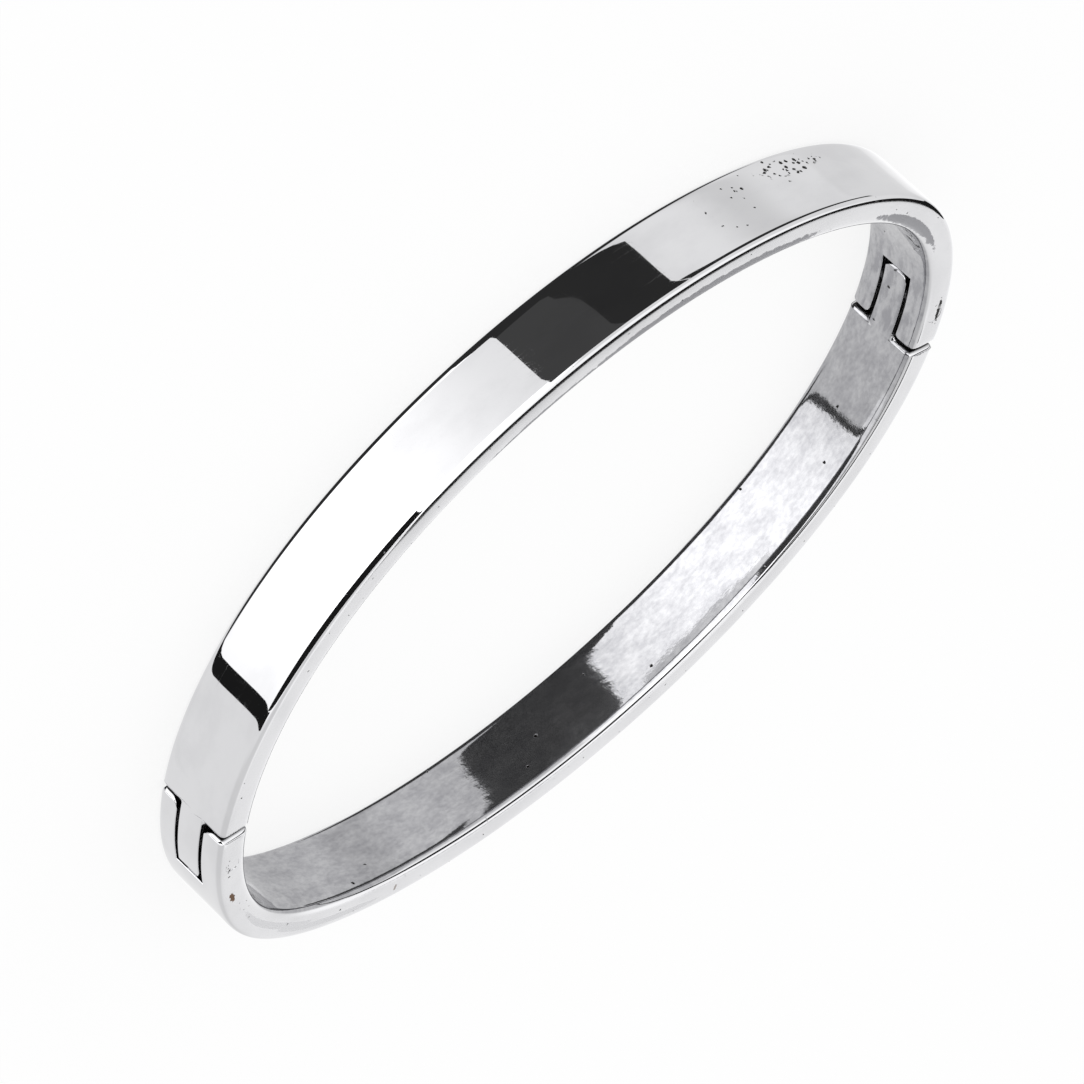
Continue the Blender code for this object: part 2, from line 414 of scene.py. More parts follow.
def band_tree():
    """Sweeps a drawn section along the oval from the ear ends to the tongue tip of one half."""
    lengths = ("Oval Length", "Oval Breadth", "Lopsidedness", "Skew", "Middle Depth", "Middle Height")
    turns = ("Ear End", "Root", "Shoulder", "Tongue Tip")
    inputs = [("Section", GEOMETRY)] + [(name, LENGTH) for name in lengths]
    inputs += [(name, ANGLE) for name in turns] + [("Joint Steps", INTEGER), ("Body Steps", INTEGER)]
    inputs += [("Material", MATERIAL)]
    g, given, result = new_maker("band along its oval", inputs)

    station = g.node("GeometryNodeInputIndex").outputs[0]
    root_step = given["Joint Steps"]
    shoulder_step = g.add(root_step, given["Body Steps"])
    last_step = g.add(shoulder_step, given["Joint Steps"])
    ear = g.rise(station, 0.0, root_step, 0.0, g.less(given["Root"], given["Ear End"]), "LINEAR")
    body_turn = g.less(given["Shoulder"], given["Root"])
    body = g.rise(station, root_step, shoulder_step, 0.0, body_turn, "LINEAR")
    tongue_turn = g.less(given["Tongue Tip"], given["Shoulder"])
    tongue = g.rise(station, shoulder_step, last_step, 0.0, tongue_turn, "LINEAR")
    turn = g.add(given["Ear End"], ear, body, tongue)

    half_length, half_breadth = g.times(given["Oval Length"], 0.5), g.times(given["Oval Breadth"], 0.5)
    c, s = g.math("COSINE", turn), g.math("SINE", turn)
    triple, fourfold = g.times(turn, 3.0), g.times(turn, 4.0)
    along_x, along_y = g.times(half_length, c), g.times(half_breadth, s)
    ellipse = g.math("SQRT", g.add(g.times(along_x, along_x), g.times(along_y, along_y)))
    lopsided = g.times(given["Lopsidedness"], g.add(s, g.math("SINE", triple)))
    skewed = g.times(given["Skew"], g.math("SINE", fourfold))
    reach = g.less(g.add(ellipse, lopsided, skewed), given["Middle Depth"])
    squares = g.less(g.times(half_breadth, half_breadth), g.times(half_length, half_length))
    swing = g.over(g.times(squares, s, c), ellipse)
    lopsided_slope = g.times(given["Lopsidedness"], g.add(c, g.times(3.0, g.math("COSINE", triple))))
    skewed_slope = g.times(given["Skew"], 4.0, g.math("COSINE", fourfold))
    slope = g.add(swing, lopsided_slope, skewed_slope)
    x = g.less(g.times(reach, c), g.times(slope, s))
    y = g.add(g.times(reach, s), g.times(slope, c))
    place = g.joined(x, y, given["Middle Height"])

    line = g.out("GeometryNodeCurvePrimitiveLine")
    points = g.out("GeometryNodeResampleCurve", {"Curve": line, "Count": g.add(last_step, 1.0)})
    path = g.out("GeometryNodeSetPosition", {"Geometry": points, "Position": place})
    stored = {"Geometry": path, "Name": "station", "Value": station}
    numbered = g.out("GeometryNodeStoreNamedAttribute", stored, data_type="INT", domain="POINT")
    upright = g.out("GeometryNodeSetCurveNormal", {"Curve": numbered}, mode="Z_UP")
    section = g.out("GeometryNodeMeshToCurve", {"Mesh": given["Section"]})
    swept = g.out("GeometryNodeCurveToMesh", {"Curve": upright, "Profile Curve": section})
    finish_tree(g, result, swept, given["Material"])
    return g.tree


WIRE_FACETS = 12


def spring_tree():
    """Coils round wire about an upright line."""
    lengths = ("Coil Radius", "Wire Radius", "Height")
    inputs = [(name, LENGTH) for name in lengths] + [("Centre", VECTOR), ("Turns", FLOAT)]
    inputs += [("Coil Steps", INTEGER), ("Material", MATERIAL)]
    g, given, result = new_maker("coiled spring", inputs)
    spiral = {"Resolution": "Coil Steps", "Rotations": "Turns", "Height": "Height"}
    spiral |= {"Start Radius": "Coil Radius", "End Radius": "Coil Radius"}
    coil = g.out("GeometryNodeCurveSpiral", {socket: given[name] for socket, name in spiral.items()})
    placed = g.out("GeometryNodeTransform", {"Geometry": coil, "Translation": given["Centre"]})
    round_wire = {"Resolution": WIRE_FACETS, "Radius": given["Wire Radius"]}
    wire = g.out("GeometryNodeCurvePrimitiveCircle", round_wire)
    swept = g.out("GeometryNodeCurveToMesh", {"Curve": placed, "Profile Curve": wire, "Fill Caps": True})
    finish_tree(g, result, g.out("GeometryNodeSetShadeSmooth", {"Geometry": swept}), given["Material"])
    return g.tree


# Steel and its marks, with places and sizes in millimetres on the unrolled band

GROUPS = {}
# Degrees off the band's run, length, width, threshold, seed
SCRATCHES = {
    "lengthwise": (1.5, 5.0, 0.03, 0.69, 1.3),
    "slanting": (24.0, 2.4, 0.025, 0.71, 4.1),
    "crossing": (78.0, 1.6, 0.025, 0.71, 7.7),
}
# Length, width, seed
MOTTLES = {
    "smudge": (5.0, 3.0, 2.0),
    "cloud": (1.9, 1.1, 5.0),
    "streak": (2.2, 0.25, 7.0),
    "grain": (0.5, 0.28, 9.0),
    "smoke": (2.4, 0.7, 11.0),
}
# Spacing, largest radius in spacings, share of places with a pit, seed
PITS = {
    "outer_thick": (0.4, 0.47, 0.6, 3.0),
    "outer_thin": (0.6, 0.2, 0.3, 1.0),
    "outer_beside": (0.75, 0.13, 0.35, 8.0),
    "plug_row": (0.26, 0.42, 0.6, 2.0),
    "end_sprinkle": (0.7, 0.12, 0.45, 4.0),
    "inner_dents": (1.9, 0.075, 0.12, 6.0),
    "rim_specks": (1.5, 0.05, 0.3, 5.0),
}
# Degrees the band faces there, place round the section, reach along and across, raggedness, grain
PATCHES = {
    "outer_thick": (229.8, 1.45, (3.1, 0.85), 1.2, 0.9),
    "outer_thin": (232.5, 1.6, (4.6, 1.3), 1.0, 0.7),
    "outer_beside": (241.0, 2.6, (2.2, 2.2), 0.8, 0.5),
    "plug_row": (-14.8, 6.96, (1.6, 0.13), 0.9, 5.0),
    "end_sprinkle": (1.0, 7.2, (2.6, 0.9), 0.6, 1.0),
    "pin_crack": (157.0, 6.95, (1.2, 0.16), 1.6, 3.0),
    "rust_star": (-5.9, 6.97, (0.6, 0.19), 2.2, 4.0),
    "rust_stain": (58.6, 7.15, (0.12, 0.3), 1.2, 5.0),
    "worn_long": (248.0, 7.86, (11.0, 0.54), 1.0, 1.4),
    "worn_tail": (267.0, 7.92, (5.0, 0.18), 1.3, 1.6),
    "worn_by_hinge": (201.5, 7.74, (5.6, 0.4), 1.0, 1.6),
    "faint_long": (25.0, 7.36, (5.0, 0.32), 0.5, 0.8),
    "faint_end": (46.0, 6.95, (5.6, 0.3), 0.5, 0.8),
}
FAINT_WEAR, FAINT_RUST = 0.3, 0.6
SCRATCH_SOFT, PATCH_EDGE = 0.07, 0.85
SMALLEST_PIT, PIT_EDGE, PIT_SHOVE = 0.4, 0.7, (0.25, 0.25, 0.0)
# Depths in a joint where its painted shade starts and is full
JOINT_SHADE_DEPTHS = (0.12, 0.38)
# Stretches of the band: first and last way it faces, in degrees, and how softly they end
BRIGHT_EDGE, BY_HINGE = (58.0, 100.0, 2.0), (147.0, 170.0, 1.0)
SATIN_START, SATIN_SHIFT, SATIN_RUN = 0.25, 0.45, 0.28
FLAT_RIM = (0.9, 0.995)
CLOUD_SHARE, GRAIN_SHARE, SMOKE_SHARE, SMUDGE_SHARE = 0.55, 0.45, 0.8, 0.12
CLEARED_BY_HINGE = 0.5
SATIN_HAZE, WORN_HAZE = 0.08, 0.5
# Roughness of the mirror polish, and what each finish or mark adds to it
MIRROR_ROUGH = 0.012
ADDED_ROUGH = {"satin": 0.03, "rim": 0.1, "strokes": 0.09, "smudge": 0.02}
ADDED_ROUGH |= {"cloud": 0.03, "streak": 0.08, "damage_and_joint_shade": 0.35}
# Depth of the band's relief, and heights as shares of it
RELIEF_DEPTH = 0.03 * MM
CLOUD_RELIEF, GRAIN_RELIEF, STREAK_RELIEF, STROKE_RELIEF = 0.3, 0.04, 0.06, 0.0015
# Tool lines, pits and clouds of the small pieces, as in the tables above
TOOL_LINES, TOOL_PITS, TOOL_CLOUD = (0.0, 3.0, 0.02, 0.5, 2.0), (0.4, 0.06, 0.12, 4.0), (0.6, 0.3, 1.0)
TOOL_DEPTH, LINE_RELIEF = 0.005 * MM, 0.2
LINE_ROUGH, SPOT_ROUGH = 0.12, 0.3
DULL_TONE, DULL_SHARE = 0.7, 0.12


def mark_group(name, sockets, output="Mask"):
    """Shader group that takes a place on the band and these values, and gives one value."""
    inputs = [("Vector", VECTOR)] + [(socket, kind) for socket, kind in sockets.items()]
    return new_group(name, "ShaderNodeTree", inputs, [(output, FLOAT)])


def scratch_group():
    """Fine strokes that lie at an angle to the band."""
    sockets = {"Angle": ANGLE, "Length": FLOAT, "Width": FLOAT, "Threshold": FLOAT, "Seed": FLOAT}
    g, given, result = mark_group("scratches", sockets)
    way = {"Vector": given["Vector"], "Angle": given["Angle"]}
    parts = g.parts(g.out("ShaderNodeVectorRotate", way, rotation_type="Z_AXIS"))
    along = g.add(g.over(parts["X"], given["Length"]), given["Seed"])
    across = g.over(parts["Y"], given["Width"])
    noise = g.noise(g.joined(along, across, given["Seed"]), scale=1.0, detail=1.0, roughness=0.4)[0]
    g.feed(result["Mask"], g.rise(noise, given["Threshold"], g.add(given["Threshold"], SCRATCH_SOFT)))
    return g.tree


def pit_group():
    """Scattered pits of uneven size."""
    sockets = {"Spacing": FLOAT, "Radius": FLOAT, "Share": FLOAT, "Seed": FLOAT}
    g, given, result = mark_group("pits", sockets)
    uneven = g.noise(given["Vector"], scale=6.0, detail=2.0, roughness=0.5)["Color"]
    shove = g.vector("SUBTRACT", uneven, (0.5, 0.5, 0.5))
    shoved = g.vector("MULTIPLY_ADD", shove, PIT_SHOVE, given["Vector"])
    moved = g.vector("ADD", g.vector("DIVIDE", shoved, given["Spacing"]), given["Seed"])
    cells = g.node("ShaderNodeTexVoronoi", {"Vector": moved, "Scale": 1.0}, voronoi_dimensions="2D")
    draw = g.node("ShaderNodeSeparateColor", {"Color": cells.outputs["Color"]}).outputs
    chosen = g.math("LESS_THAN", draw["Red"], given["Share"])
    radius = g.times(given["Radius"], g.add(SMALLEST_PIT, g.times(1 - SMALLEST_PIT, draw["Green"])))
    spot = g.without(g.rise(cells.outputs["Distance"], g.times(radius, PIT_EDGE), radius))
    g.feed(result["Mask"], g.times(chosen, spot))
    return g.tree


def patch_group():
    """Patch of a given reach round a place on the band, with a ragged edge."""
    sockets = {"Centre": VECTOR, "Reach": VECTOR, "Ragged": FLOAT, "Grain": FLOAT}
    g, given, result = mark_group("ragged patch", sockets)
    share = g.vector("DIVIDE", g.vector("SUBTRACT", given["Vector"], given["Centre"]), given["Reach"])
    away = g.node("ShaderNodeVectorMath", {0: share}, operation="LENGTH").outputs["Value"]
    noise = g.noise(given["Vector"], given["Grain"], detail=3.0, roughness=0.6)[0]
    rough = g.times(given["Ragged"], g.less(noise, 0.5))
    g.feed(result["Mask"], g.without(g.rise(g.add(away, rough), PATCH_EDGE, 1.0)))
    return g.tree


def mottle_group():
    """Cloudy unevenness of a rubbed surface, stretched along the band."""
    sockets = {"Length": FLOAT, "Width": FLOAT, "Seed": FLOAT}
    g, given, result = mark_group("mottle", sockets, "Value")
    parts = g.parts(given["Vector"])
    along, across = g.over(parts["X"], given["Length"]), g.over(parts["Y"], given["Width"])
    noise = g.noise(g.joined(along, across, given["Seed"]), scale=1.0, detail=4.0, roughness=0.55)[0]
    g.feed(result["Value"], noise)
    return g.tree


def shared_groups():
    makers = {"scratches": scratch_group, "pits": pit_group, "patch": patch_group, "mottle": mottle_group}
    for name, maker in makers.items():
        GROUPS[name] = maker()


def new_steel(name):
    """Metal with its shader, and the graph to lay its nodes in."""
    material = bpy.data.materials.new(name)
    material.use_nodes = True
    shader = material.node_tree.nodes["Principled BSDF"]
    shader.inputs["Metallic"].default_value = 1.0
    return material, Graph(material.node_tree), shader


def solid(rgb):
    return (*rgb, 1.0)


def band_place(turn_degrees, around):
    """Place on the unrolled band: millimetres along it, and round its section."""
    return (float(along_band(math.radians(turn_degrees))), around, 0.0)


def band_window(g, along, first_degrees, last_degrees, soft):
    """One on the stretch of the band that faces between these ways."""
    return g.window(along, band_place(first_degrees, 0)[0], band_place(last_degrees, 0)[0], soft)


def scratches(g, where, degrees, *values):
    return g.group(GROUPS["scratches"], where, math.radians(degrees), *values)


def pits(g, where, *values):
    return g.group(GROUPS["pits"], where, *values)


def mottle(g, where, *values):
    return g.group(GROUPS["mottle"], where, *values)


def patch(g, where, name):
    degrees, around, reach, ragged, grain = PATCHES[name]
    return g.group(GROUPS["patch"], where, band_place(degrees, around), (*reach, 1.0), ragged, grain)


def patches(g, where, *names):
    return g.most(*(patch(g, where, name) for name in names))


def pitted(g, where, *names):
    """Pits that lie only inside the patches of the same names."""
    return g.most(*(g.times(patch(g, where, name), pits(g, where, *PITS[name])) for name in names))


def bump(g, shader, relief, depth):
    raised = g.out("ShaderNodeBump", {"Height": relief, "Strength": 1.0, "Distance": depth})
    g.feed(shader.inputs["Normal"], raised)


def joint_shade(g):
    """Painted shade on the walls of the joints, from a little way under the surface."""
    parts = g.parts(g.node("ShaderNodeAttribute", attribute_name="section").outputs["Vector"])
    depth, height, wall = parts["X"], parts["Y"], parts["Z"]
    face = g.least(depth, g.less(sizes().band_thickness / MM, depth))
    rim = g.least(height, g.less(sizes().band_width / MM, height))
    return g.times(wall, g.rise(g.least(face, rim), *JOINT_SHADE_DEPTHS))


def band_steel():
    """Mirror polish outside, cloudy satin inside, rims between them, painted shade deep in the joints."""
    tint = colours()
    material, g, shader = new_steel("polished_steel")
    where = g.node("ShaderNodeAttribute", attribute_name="unrolled").outputs["Vector"]
    finish = g.node("ShaderNodeAttribute", attribute_name="finish").outputs["Vector"]
    sides = g.parts(finish)
    outer, inner, rim = sides["X"], sides["Y"], sides["Z"]

    strokes = g.most(*(scratches(g, where, *values) for values in SCRATCHES.values()))
    smudge, cloud, streak, grain, smoke = (mottle(g, where, *values) for values in MOTTLES.values())

    dents = g.times(inner, pits(g, where, *PITS["inner_dents"]))
    dirt = g.most(pitted(g, where, "plug_row", "end_sprinkle"), patch(g, where, "pin_crack"))
    specks = g.times(rim, pits(g, where, *PITS["rim_specks"]))
    outer_pits = pitted(g, where, "outer_thick", "outer_thin", "outer_beside")
    holes = g.most(g.times(outer, outer_pits), g.times(rim, dirt), dents, specks)
    stain = g.times(patch(g, where, "rust_stain"), FAINT_RUST)
    rust = g.times(rim, g.most(patch(g, where, "rust_star"), stain))
    faint = g.times(patches(g, where, "faint_long", "faint_end"), FAINT_WEAR)
    wear = g.times(rim, g.most(patches(g, where, "worn_long", "worn_tail", "worn_by_hinge"), faint))
    # Dirt in the pits and cracks, with painted shade deep on the joints' walls
    pit_dirt_and_joint_shade = g.most(holes, joint_shade(g))

    inner_share = g.over(inner, g.add(inner, rim, 0.001))
    along = g.parts(where)["X"]
    satin_start = g.add(SATIN_START, g.times(band_window(g, along, *BRIGHT_EDGE), SATIN_SHIFT))
    flat_inner = g.rise(inner_share, satin_start, g.add(satin_start, SATIN_RUN))
    flat_rim = g.rise(rim, *FLAT_RIM)
    clouds, grains = g.rise(cloud, 0.3, 0.72), g.rise(grain, 0.3, 0.7)
    stains = g.add(g.times(clouds, CLOUD_SHARE), g.times(grains, GRAIN_SHARE))
    by_hinge = band_window(g, along, *BY_HINGE)
    smoked = g.times(by_hinge, g.rise(smoke, 0.4, 0.62), SMOKE_SHARE)
    stains = g.add(g.times(stains, g.without(g.times(by_hinge, CLEARED_BY_HINGE))), smoked)
    clouded = g.mix(stains, solid(tint.satin), solid(tint.stained))
    tone = g.mix(flat_inner, solid(tint.polished), clouded)
    dulled = g.times(g.rise(smudge, 0.4, 0.7), g.without(inner), SMUDGE_SHARE)
    tone = g.mix(g.most(wear, dulled), tone, solid(tint.worn))
    tone = g.mix(rust, tone, solid(tint.rust))
    g.feed(shader.inputs["Base Color"], g.mix(pit_dirt_and_joint_shade, tone, solid(tint.pit_dirt_and_joint_shade)))

    haze = g.add(g.times(flat_inner, SATIN_HAZE), g.times(wear, WORN_HAZE))
    g.feed(shader.inputs["Metallic"], g.without(haze))

    dulls = {"satin": flat_inner, "rim": flat_rim, "strokes": g.times(strokes, outer)}
    dulls |= {"smudge": g.times(smudge, g.without(inner)), "cloud": g.times(cloud, flat_inner)}
    dulls |= {"streak": g.times(streak, flat_rim), "damage_and_joint_shade": g.most(wear, pit_dirt_and_joint_shade, rust)}
    added = (g.times(mask, ADDED_ROUGH[name]) for name, mask in dulls.items())
    g.feed(shader.inputs["Roughness"], g.add(MIRROR_ROUGH, *added))

    relief = g.times(inner, g.add(g.times(cloud, CLOUD_RELIEF), g.times(grain, GRAIN_RELIEF)))
    relief = g.add(relief, g.times(flat_rim, streak, STREAK_RELIEF))
    relief = g.less(relief, g.times(strokes, outer, STROKE_RELIEF))
    bump(g, shader, g.less(relief, g.most(holes, rust)), RELIEF_DEPTH)
    return material


def flush_steel():
    """The band's steel for pieces that were ground and polished together with it."""
    material = bpy.data.objects["front_band"].data.materials[0].copy()
    material.name = "pin_steel"
    return material


def turned_steel(name, rgb, roughness):
    """Small turned or drawn piece: fine tool lines round it and a few pits."""
    material, g, shader = new_steel(name)
    place = g.node("ShaderNodeTexCoord").outputs["Object"]
    where = g.node("ShaderNodeVectorMath", {0: place, "Scale": 1 / MM}, operation="SCALE").outputs[0]
    parts = g.parts(where)
    flat = g.joined(g.add(parts["X"], parts["Y"]), parts["Z"])
    lines = scratches(g, flat, *TOOL_LINES)
    spots, cloud = pits(g, flat, *TOOL_PITS), mottle(g, flat, *TOOL_CLOUD)
    dull = tuple(DULL_TONE * part for part in rgb)
    tone = g.mix(g.rise(cloud, 0.35, 0.7, 0.0, DULL_SHARE), solid(rgb), solid(dull))
    g.feed(shader.inputs["Base Color"], g.mix(spots, tone, solid(colours().pit_dirt_and_joint_shade)))
    rough = g.add(roughness, g.times(lines, LINE_ROUGH), g.times(spots, SPOT_ROUGH))
    g.feed(shader.inputs["Roughness"], rough)
    bump(g, shader, g.less(g.times(lines, -LINE_RELIEF), spots), TOOL_DEPTH)
    return material


# Band halves


def section_rows():
    """Closed section of the band as (outward, height) from its middle, and where its inner face starts."""
    size = sizes()
    half_thickness, half_width = size.band_thickness / 2, size.band_width / 2
    tongue, slot = size.tongue_width / 2, size.tongue_width / 2 + size.side_gap
    steps = fineness().corner_steps

    def corner(fullness):
        points = []
        for step in range(1, steps):
            part = math.pi / 2 * step / steps
            outward = half_thickness * math.cos(part) ** (2 / fullness)
            points.append((outward, half_width * math.sin(part) ** (2 / size.face_fullness)))
        return points

    flats = [-slot, -tongue, 0.0, tongue, slot]
    outer = [(half_thickness, height) for height in flats]
    outer_corner, inner_corner = corner(size.rim_fullness), corner(size.inner_fullness)
    top = outer_corner + [(0.0, half_width)] + [(-out, height) for out, height in reversed(inner_corner)]
    inner = [(-out, -height) for out, height in outer]
    bottom = [(out, -height) for out, height in reversed(top)]
    return outer + top + inner + bottom, len(outer) + len(top)


def section_mesh(points):
    """The section as a loop of edges, its points numbered, drawn for sweeping."""
    mesh = bpy.data.meshes.new("band_section")
    edges = [(i, (i + 1) % len(points)) for i in range(len(points))]
    mesh.from_pydata([(outward, -height, 0.0) for outward, height in points], edges, [])
    numbers = mesh.attributes.new("row", "INT", "POINT")
    numbers.data.foreach_set("value", range(len(points)))
    return mesh


def cut_joints(bm, row_count, inner):
    """Opens the slot and pares the tongue on a swept half; returns its sharp edges by kind of round."""
    station_layer = bm.verts.layers.int["station"]
    row_layer = bm.verts.layers.int["row"]
    grid = {(vert[station_layer], vert[row_layer]): vert for vert in bm.verts}
    root = fineness().joint_steps
    shoulder = root + fineness().body_steps
    last = shoulder + fineness().joint_steps
    slot_low, tongue_low, middle, tongue_high, slot_high = range(5)
    in_slot_high, in_tongue_high, in_middle, in_tongue_low, in_slot_low = range(inner, inner + 5)
    top_rows = list(range(slot_high, in_slot_high + 1))
    bottom_rows = list(range(in_slot_low, row_count)) + [slot_low]
    slot_rows = list(range(slot_low, slot_high)) + list(range(in_slot_high, in_slot_low))
    tongue_rows = [tongue_low, middle, in_tongue_high, in_middle]
    root_outer, root_inner = list(range(slot_high + 1)), list(range(in_slot_high, in_slot_low + 1))
    shoulders = ([tongue_high] + top_rows + [in_tongue_high], [in_tongue_low] + bottom_rows + [tongue_low])
    tip_outer = [tongue_low, middle, tongue_high]
    tip_inner = [in_tongue_high, in_middle, in_tongue_low]
    slot_walls = ((slot_high, in_slot_high), (in_slot_low, slot_low))
    tongue_walls = ((tongue_high, in_tongue_high), (in_tongue_low, tongue_low))

    doomed = []
    for face in bm.faces:
        station = min(vert[station_layer] for vert in face.verts)
        numbers = sorted({vert[row_layer] for vert in face.verts})
        row = numbers[1] if numbers == [0, row_count - 1] else numbers[0]
        if (station < root and row in slot_rows) or (station >= shoulder and row not in tongue_rows):
            doomed.append(face)
    bmesh.ops.delete(bm, geom=doomed, context="FACES_ONLY")

    def walls(start, end, pairs):
        for first, second in pairs:
            for station in range(start, end):
                corners = ((station, first), (station + 1, first), (station + 1, second), (station, second))
                bm.faces.new([grid[corner] for corner in corners])

    def cap(station, *loops):
        for numbers in loops:
            bm.faces.new([grid[station, number] for number in numbers])

    walls(0, root, slot_walls)
    cap(0, top_rows, bottom_rows)
    cap(root, root_outer + root_inner)
    walls(shoulder, last, tongue_walls)
    cap(shoulder, *shoulders)
    cap(last, tip_outer + tip_inner)
    loose = [vert for vert in bm.verts if not vert.link_faces]
    bmesh.ops.delete(bm, geom=loose, context="VERTS")
    wires = [edge for edge in bm.edges if not edge.link_faces]
    bmesh.ops.delete(bm, geom=wires, context="EDGES")
    bmesh.ops.recalc_face_normals(bm, faces=bm.faces)

    rounds = {"corner": set(), "end": set(), "side": set(), "base": set()}

    def across(kind, station, *loops):
        for numbers in loops:
            for pair in zip(numbers, numbers[1:]):
                rounds[kind].add(bm.edges.get([grid[station, number] for number in pair]))

    def lengthways(start, end, pairs):
        for row in (row for pair in pairs for row in pair):
            for station in range(start, end):
                rounds["side"].add(bm.edges.get((grid[station, row], grid[station + 1, row])))

    across("corner", 0, *slot_walls)
    across("corner", last, *tongue_walls)
    across("base", shoulder, *tongue_walls)
    across("end", 0, top_rows, bottom_rows)
    across("end", shoulder, *shoulders)
    across("end", last, tip_outer, tip_inner)
    across("side", root, root_outer, root_inner)
    lengthways(0, root, slot_walls)
    lengthways(shoulder, last, tongue_walls)
    return rounds


def modified(obj, name, kind, **settings):
    """Replaces the object's mesh by what one modifier makes of it."""
    modifier = obj.modifiers.new(name, kind)
    for setting, value in settings.items():
        setattr(modifier, setting, value)
    evaluated = obj.evaluated_get(bpy.context.evaluated_depsgraph_get())
    mesh = bpy.data.meshes.new_from_object(evaluated)
    obj.modifiers.clear()
    obj.data = mesh
    return obj


def smooth(mesh, sharp_degrees):
    mesh.shade_smooth()
    mesh.set_sharp_from_angle(angle=math.radians(sharp_degrees))


def round_edges(obj):
    """Rounds the marked edges, each by its own share of the largest round."""
    return modified(
        obj, "rounded_edges", "BEVEL", limit_method="WEIGHT", width=sizes().corner_round,
        segments=fineness().round_steps, use_clamp_overlap=False, loop_slide=True,
    )


SAME_PLACE = 1e-8
TURNED_SHARP_DEGREES, BAND_SHARP_DEGREES = 40, 32


def turned_mesh(name, centre, profile):
    """Closed solid turned about the upright line through centre, from (radius, height)."""
    bm = bmesh.new()
    verts = [bm.verts.new((centre.x + radius, centre.y, height)) for radius, height in profile]
    geometry = verts + [bm.edges.new(pair) for pair in zip(verts, verts[1:])]
    line = {"cent": (centre.x, centre.y, 0), "axis": (0, 0, 1)}
    steps = fineness().turn_steps
    bmesh.ops.spin(bm, geom=geometry, **line, angle=FULL_TURN, steps=steps, use_merge=True)
    bmesh.ops.remove_doubles(bm, verts=bm.verts, dist=SAME_PLACE)
    bmesh.ops.recalc_face_normals(bm, faces=bm.faces)
    mesh = bpy.data.meshes.new(name)
    bm.to_mesh(mesh)
    bm.free()
    smooth(mesh, TURNED_SHARP_DEGREES)
    return mesh


def drill(obj, centre, radius):
    """Upright round hole through everything the object has at this place."""
    past = sizes().band_thickness
    low, high = -past, sizes().band_width + past
    profile = [(0, low), (radius, low), (radius, high), (0, high)]
    bit = linked("drill", turned_mesh("drill", centre, profile))
    modified(obj, "drilled", "BOOLEAN", operation="DIFFERENCE", solver="EXACT", object=bit)
    bpy.data.objects.remove(bit)


def fair_normals(obj):
    """Keeps flats flat and rounds smooth in the reflections."""
    smooth(obj.data, BAND_SHARP_DEGREES)
    weights = {"mode": "FACE_AREA", "weight": 50, "keep_sharp": True}
    return modified(obj, "fair_normals", "WEIGHTED_NORMAL", **weights)


def vectors(data, name):
    values = np.empty(len(data) * 3)
    data.foreach_get(name, values)
    return values.reshape(-1, 3)


# How near a rim counts as the rim, in band thicknesses, and how steep a face counts as a joint's wall
RIM_REACH = 0.3
WALL_START, WALL_FULL = 0.5, 0.85


def band_attributes(obj, start, end):
    """Writes where each point lies on the unrolled band, and which side of the band it is on."""
    size = sizes()
    mesh = obj.data
    points, normals = vectors(mesh.vertices, "co"), vectors(mesh.vertex_normals, "vector")

    middle = (start + end) / 2
    guess = np.arctan2(points[:, 1] * size.oval_length, points[:, 0] * size.oval_breadth)
    guess = guess + FULL_TURN * np.round((middle - guess) / FULL_TURN)
    turn = turn_of(points, guess)
    out = np.stack([np.cos(turn), np.sin(turn), np.zeros_like(turn)], 1)
    depth = oval_terms(turn)[0] - (points * out).sum(1)
    height = points[:, 2]
    unrolled = np.stack([along_band(turn), (height + depth) / MM, np.zeros_like(turn)], 1)

    facing = (normals * out).sum(1)
    endwise = np.abs(normals[:, 1] * np.cos(turn) - normals[:, 0] * np.sin(turn))
    upright = np.abs(normals[:, 2])
    off_rim = np.minimum(height, size.band_width - height) > RIM_REACH * size.band_thickness
    outer = np.where(facing > 0, facing**2, 0)
    inner = np.where(facing < 0, facing**2, 0)
    finish = np.stack([outer, inner, upright**2], 1)
    steep = np.maximum(endwise, upright * off_rim)
    wall = np.clip((steep - WALL_START) / (WALL_FULL - WALL_START), 0, 1)
    section = np.stack([depth / MM, height / MM, wall], 1)
    for name, values in (("unrolled", unrolled), ("finish", finish), ("section", section)):
        layer = mesh.attributes.new(name, "FLOAT_VECTOR", "POINT")
        layer.data.foreach_set("vector", values.astype(np.float32).ravel())


def band_half(name, fork, tongue, holes, tree, material):
    """One half, from the ears at its fork joint to the tongue tip at its other joint."""
    size = sizes()
    half_joint = size.joint_length / 2
    reach = half_joint - size.end_gap
    points, inner = section_rows()
    start, end = joint_turn(fork, -reach), joint_turn(tongue, reach)
    values = {"Middle Depth": size.band_thickness / 2, "Middle Height": size.band_width / 2}
    values |= {"Ear End": start, "Root": joint_turn(fork, half_joint)}
    values |= {"Shoulder": joint_turn(tongue, -half_joint), "Tongue Tip": end, "Material": material}
    values |= {"Oval Length": size.oval_length, "Oval Breadth": size.oval_breadth}
    values |= {"Lopsidedness": size.lopsidedness, "Skew": size.skew}
    values |= {"Joint Steps": fineness().joint_steps, "Body Steps": fineness().body_steps}
    mesh = made_by_nodes(name, section_mesh(points), tree, values)
    bm = bmesh.new()
    bm.from_mesh(mesh)
    weights = bm.edges.layers.float.new("bevel_weight_edge")
    for kind, edges in cut_joints(bm, len(points), inner).items():
        share = getattr(size, f"{kind}_round") / size.corner_round
        for edge in edges:
            edge[weights] = share
    bm.to_mesh(mesh)
    bm.free()
    half = round_edges(linked(name, mesh))
    for centre, radius in holes:
        drill(half, centre, radius)
    fair_normals(half)
    band_attributes(half, start, end)
    for layer in ("station", "row", "bevel_weight_edge"):
        if layer in half.data.attributes:
            half.data.attributes.remove(half.data.attributes[layer])
    return half


def dress(obj, node, body):
    """Puts a finished piece in its node's place."""
    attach(obj, body)
    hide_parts(node)


